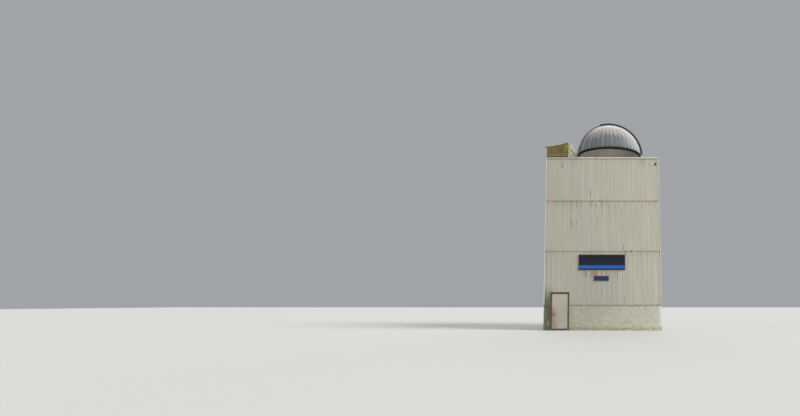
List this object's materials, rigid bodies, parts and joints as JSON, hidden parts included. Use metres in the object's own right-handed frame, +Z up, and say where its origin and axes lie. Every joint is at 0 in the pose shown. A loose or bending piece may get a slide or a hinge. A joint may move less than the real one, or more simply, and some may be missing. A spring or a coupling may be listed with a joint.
{
  "type": "observatory tower",
  "caption": "Square metal-sided tower with an entrance door, a stair head on its roof and a ribbed round dome whose slit opens over an equatorial telescope",
  "frame": {"origin": "on the ground, under the middle of the tower's square plan", "axes": "+Z up, the front with the door faces -Y, and the dome's slit points to +X at rest, turned 9 degrees towards the back"},
  "size_m": [7.095, 7.0603, 13.7039],
  "materials": {
    "siding": "weathered cream paint on ribbed steel sheet",
    "concrete": null,
    "trim": "pale folded metal trim",
    "deck": null,
    "frame": "dark brown paint, chipped",
    "door": "off-white paint with rust at the edges",
    "steel": "plain steel",
    "board": "plain navy sheet",
    "stair_head": "cream paint under moss and dirt",
    "drum": "matt grey-beige paint",
    "galvanised": "dull galvanised sheet",
    "shutter": "dark navy paint",
    "black": "black enamel",
    "white": "white enamel",
    "telescope": "cream-green lacquer with black rings",
    "cabinet": "grey laminate",
    "counter": "brown laminate"
  },
  "bodies": {
    "tower": {"ground_slab": "concrete", "front_base_left": "concrete", "front_base_right": "concrete", "left_base": "concrete", "right_base": "concrete", "back_base": "concrete", "front_siding_left": "siding", "front_siding_right": "siding", "front_siding_upper": "siding", "left_siding": "siding", "right_siding": "siding", "back_siding": "siding", "parapet_coping": "trim", "roof_deck": "deck", "door_frame": "frame", "name_board": "board", "small_board": "board", "stair_head_shell": "stair_head", "stair_head_roof": "trim", "stair_head_hatch": "trim", "drum_wall_left": "drum", "drum_wall_back": "drum", "drum_wall_right": "drum", "drum_wall_front": "drum", "drum_door": "door", "roller_track": "steel", "pier": "black", "mount_base": "white", "counter_cabinet": "cabinet", "counter_top": "counter", "desk": "cabinet"},
    "entrance_door": {"entrance_door": "door", "door_handle": "steel"},
    "dome": {"dome_base_ring": "galvanised", "dome_gores_1": "galvanised", "dome_gores_2": "galvanised", "dome_gores_3": "galvanised", "dome_gores_4": "galvanised", "dome_gores_5": "galvanised", "dome_gores_6": "galvanised", "arch_beam_front": "galvanised", "arch_beam_back": "galvanised", "rear_panel": "galvanised", "slit_sill": "galvanised"},
    "upper_shutter": {"upper_shutter": "shutter", "shutter_end_frame": "galvanised"},
    "lower_shutter": {"lower_shutter": "shutter"},
    "polar_head": {"dec_housing": "white", "counterweights": "steel"},
    "telescope": {"saddle_plate": "telescope", "main_tube": "telescope", "guide_scope": "telescope"}
  },
  "joints": [
    {"name": "entrance_door_swing", "type": "hinge", "parent": "tower", "child": "entrance_door", "pos_m": [-2.07, -3.51, 1.1], "axis": [0, 0, 1], "range_deg": [0, 100]},
    {"name": "dome_rotation", "type": "hinge", "parent": "tower", "child": "dome", "pos_m": [0.45, 0, 11.5803], "axis": [0, 0, 1], "continuous": true},
    {"name": "upper_shutter_travel", "type": "hinge", "parent": "dome", "child": "upper_shutter", "pos_m": [0.45, 0, 11.48], "axis": [0.1564, -0.9877, 0], "range_deg": [0, 66]},
    {"name": "lower_shutter_drop", "type": "hinge", "parent": "dome", "child": "lower_shutter", "pos_m": [2.63279, 0.34572, 11.595], "axis": [-0.1564, 0.9877, 0], "range_deg": [0, 110]},
    {"name": "polar_axis", "type": "hinge", "parent": "tower", "child": "polar_head", "pos_m": [0.65, 0, 12], "axis": [0.7547, 0, 0.6561], "range_deg": [-90, 90]},
    {"name": "declination_axis", "type": "hinge", "parent": "polar_head", "child": "telescope", "pos_m": [0.65, 0, 12], "axis": [-0.6561, 0, 0.7547], "range_deg": [-90, 90]}
  ]
}
